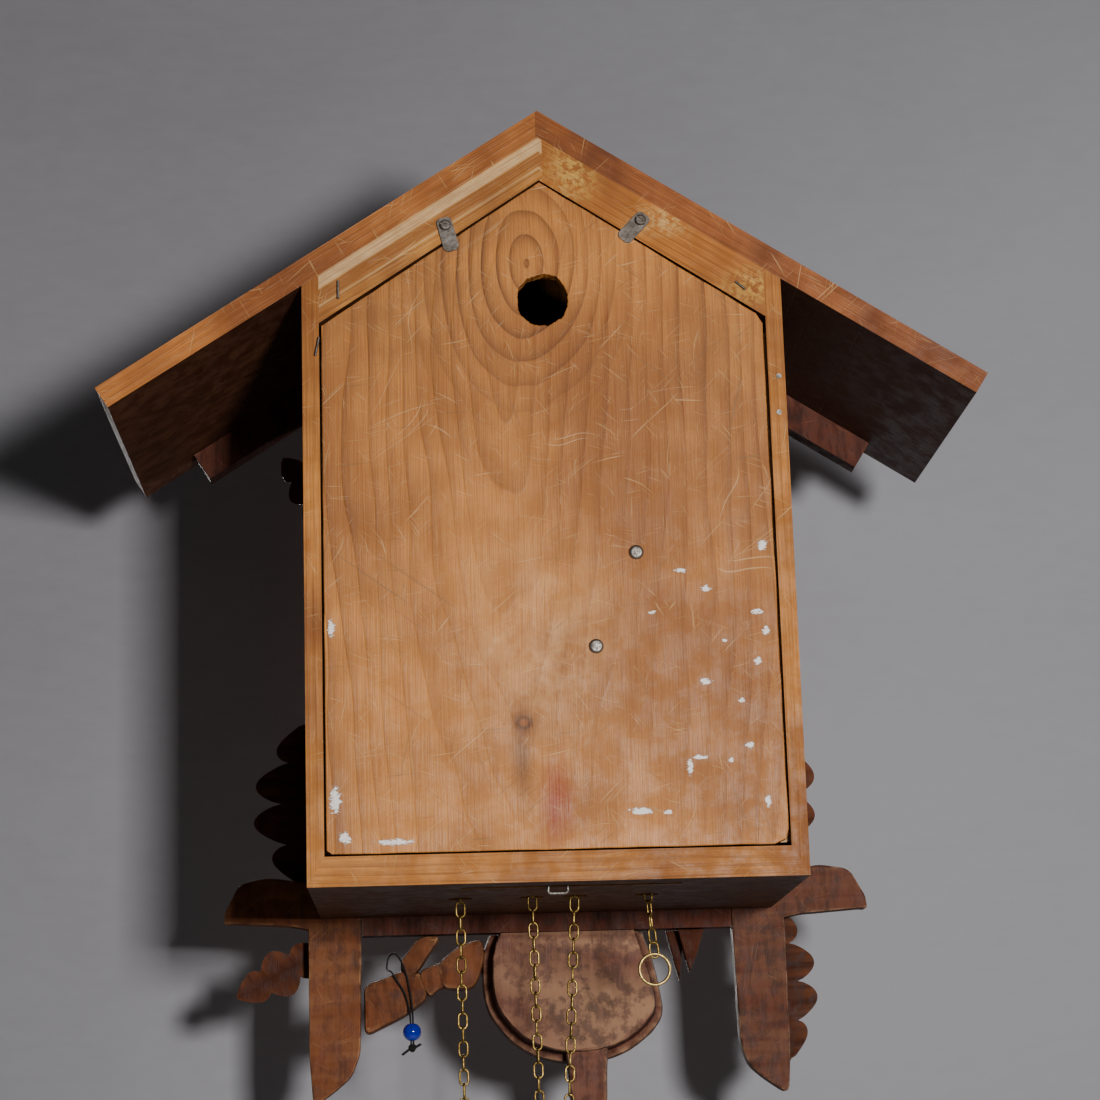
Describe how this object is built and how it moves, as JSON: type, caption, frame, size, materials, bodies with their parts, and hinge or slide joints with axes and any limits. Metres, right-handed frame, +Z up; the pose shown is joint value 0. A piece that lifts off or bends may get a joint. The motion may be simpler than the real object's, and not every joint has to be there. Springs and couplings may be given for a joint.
{
  "type": "cuckoo clock",
  "caption": "Carved wooden cuckoo clock case with saddle roof, back panel held by turn buttons, chain-driven movement, bird, bellows and gong",
  "frame": {"origin": "centre of the hanging hole on the outer face of the back panel", "axes": "+Z up, +Y out of the back toward the wall, +X to the right seen from the dial side"},
  "size_m": [0.37, 0.1616, 0.4859],
  "materials": {
    "case_wood": "stained, worn",
    "panel_wood": "worn, scratched",
    "roof_wood": "stained",
    "carved_wood": "dark stain, scuffed",
    "steel": "dull",
    "dial_wood": "dark stain",
    "bone_white": "satin",
    "movement_brass": "tarnished",
    "cast_grey": "rough",
    "bird_paint": "painted",
    "door_wood": "stained",
    "bellows_card": "bare",
    "bellows_skin": "matt",
    "bead_glass": "gloss",
    "black_string": "matt"
  },
  "bodies": {
    "case": {"side_boards": "case_wood", "bottom_board": "case_wood", "front_board": "case_wood", "roof_board_left": "roof_wood", "roof_board_right": "roof_wood", "gable_rail_left": "case_wood", "gable_rail_right": "case_wood", "back_panel": "panel_wood", "inner_battens": "case_wood", "wood_screws": "steel", "gong_rivets": "steel", "small_nails": "steel", "frame_stile_left": "carved_wood", "frame_stile_right": "carved_wood", "frame_bars": "carved_wood", "frame_rail": "carved_wood", "oak_leaves_left": "carved_wood", "oak_leaves_right": "carved_wood", "crown_leaves": "carved_wood", "hunting_bag": "carved_wood", "hunting_horn": "carved_wood", "dial": "dial_wood", "numerals": "bone_white", "front_plate": "movement_brass", "back_plate": "movement_brass", "gong_block": "cast_grey", "gong_coil": "steel", "door_pin": "steel", "bellows_boxes": "bellows_card", "bellows_cloth": "bellows_skin", "chain_going": "movement_brass", "chain_strike": "movement_brass", "weight_hooks": "steel", "bead": "bead_glass", "bead_cord": "black_string"},
    "turn_button_left": {"turn_button_left": "steel"},
    "turn_button_right": {"turn_button_right": "steel"},
    "cuckoo": {"cuckoo": "bird_paint"},
    "cuckoo_door": {"cuckoo_door": "door_wood"},
    "minute_train": {"centre_wheel": "movement_brass", "minute_hand": "bone_white", "hand_nut": "movement_brass"},
    "minute_wheel": {"minute_wheel": "movement_brass"},
    "hour_train": {"hour_wheel": "movement_brass", "hour_hand": "bone_white"},
    "going_great": {"going_great_wheel": "movement_brass", "going_sprocket": "movement_brass"},
    "third_wheel": {"third_wheel": "movement_brass"},
    "escape_wheel": {"escape_wheel": "movement_brass"},
    "pallets": {"pallet_anchor": "steel", "pendulum_wire": "steel"},
    "strike_great": {"strike_great_wheel": "movement_brass", "strike_sprocket": "movement_brass"},
    "strike_second": {"strike_second_wheel": "movement_brass"},
    "fly": {"fly": "movement_brass"},
    "hammer": {"hammer": "movement_brass"},
    "bellows_lid_left": {"bellows_lid_left": "bellows_card"},
    "bellows_lid_right": {"bellows_lid_right": "bellows_card"},
    "pull_ring_going": {"pull_ring_going": "movement_brass"},
    "pull_ring_strike": {"pull_ring_strike": "movement_brass"}
  },
  "joints": [
    {"name": "turn_button_left_turn", "type": "hinge", "parent": "case", "child": "turn_button_left", "pos_m": [-0.0421, 0.0005, 0.0339], "axis": [0, 1, 0], "range_deg": [-90, 90]},
    {"name": "turn_button_right_turn", "type": "hinge", "parent": "case", "child": "turn_button_right", "pos_m": [0.0398, 0.0005, 0.0329], "axis": [0, 1, 0], "range_deg": [-90, 90]},
    {"name": "cuckoo_slide", "type": "slide", "parent": "case", "child": "cuckoo", "axis": [0, -1, 0], "range_m": [0, 0.036]},
    {"name": "cuckoo_door_swing", "type": "hinge", "parent": "case", "child": "cuckoo_door", "pos_m": [-0.02, -0.134, -0.027], "axis": [0, 0, -1], "range_deg": [0, 96]},
    {"name": "minute_hand_turn", "type": "hinge", "parent": "case", "child": "minute_train", "pos_m": [0, -0.1, -0.152], "axis": [0, 1, 0], "continuous": true},
    {"name": "minute_wheel_turn", "type": "hinge", "parent": "case", "child": "minute_wheel", "pos_m": [0.0186, -0.092, -0.1334], "axis": [0, 1, 0], "continuous": true},
    {"name": "hour_hand_turn", "type": "hinge", "parent": "case", "child": "hour_train", "pos_m": [0, -0.12, -0.152], "axis": [0, 1, 0], "continuous": true},
    {"name": "going_great_turn", "type": "hinge", "parent": "case", "child": "going_great", "pos_m": [0.024, -0.06, -0.19], "axis": [0, 1, 0], "continuous": true},
    {"name": "third_wheel_turn", "type": "hinge", "parent": "case", "child": "third_wheel", "pos_m": [0.012, -0.06, -0.1199], "axis": [0, 1, 0], "continuous": true},
    {"name": "escape_wheel_turn", "type": "hinge", "parent": "case", "child": "escape_wheel", "pos_m": [0, -0.06, -0.093], "axis": [0, 1, 0], "continuous": true},
    {"name": "pallets_swing", "type": "hinge", "parent": "case", "child": "pallets", "pos_m": [0, -0.05, -0.068], "axis": [0, 1, 0], "range_deg": [-4, 4]},
    {"name": "strike_great_turn", "type": "hinge", "parent": "case", "child": "strike_great", "pos_m": [-0.024, -0.06, -0.19], "axis": [0, 1, 0], "continuous": true},
    {"name": "strike_second_turn", "type": "hinge", "parent": "case", "child": "strike_second", "pos_m": [-0.033, -0.06, -0.15], "axis": [0, 1, 0], "continuous": true},
    {"name": "fly_turn", "type": "hinge", "parent": "case", "child": "fly", "pos_m": [-0.036, -0.06, -0.1254], "axis": [0, 1, 0], "continuous": true},
    {"name": "hammer_lift", "type": "hinge", "parent": "case", "child": "hammer", "pos_m": [-0.044, -0.05, -0.07], "axis": [0, 1, 0], "range_deg": [0, 15]},
    {"name": "bellows_left_lift", "type": "hinge", "parent": "case", "child": "bellows_lid_left", "pos_m": [-0.075, -0.118, -0.026], "axis": [1, 0, 0], "range_deg": [0, 12]},
    {"name": "bellows_right_lift", "type": "hinge", "parent": "case", "child": "bellows_lid_right", "pos_m": [0.075, -0.118, -0.026], "axis": [1, 0, 0], "range_deg": [0, 12]},
    {"name": "ring_going_swing", "type": "hinge", "parent": "case", "child": "pull_ring_going", "pos_m": [0.0082, -0.06, -0.33765], "axis": [0, 1, 0], "range_deg": [-15, 15]},
    {"name": "ring_strike_swing", "type": "hinge", "parent": "case", "child": "pull_ring_strike", "pos_m": [-0.0412, -0.06, -0.26685], "axis": [0, 1, 0], "range_deg": [-15, 15]}
  ],
  "couplings": [
    {"joint": "cuckoo_door_swing", "follows": "cuckoo_slide", "rad_per_m": 46.542},
    {"joint": "minute_wheel_turn", "follows": "minute_hand_turn", "ratio": -0.33333},
    {"joint": "hour_hand_turn", "follows": "minute_hand_turn", "ratio": 0.083333},
    {"joint": "going_great_turn", "follows": "minute_hand_turn", "ratio": -0.30556},
    {"joint": "third_wheel_turn", "follows": "minute_hand_turn", "ratio": -4.6667},
    {"joint": "escape_wheel_turn", "follows": "minute_hand_turn", "ratio": 22.4},
    {"joint": "strike_second_turn", "follows": "strike_great_turn", "ratio": -5.1429},
    {"joint": "fly_turn", "follows": "strike_great_turn", "ratio": 28.286}
  ]
}
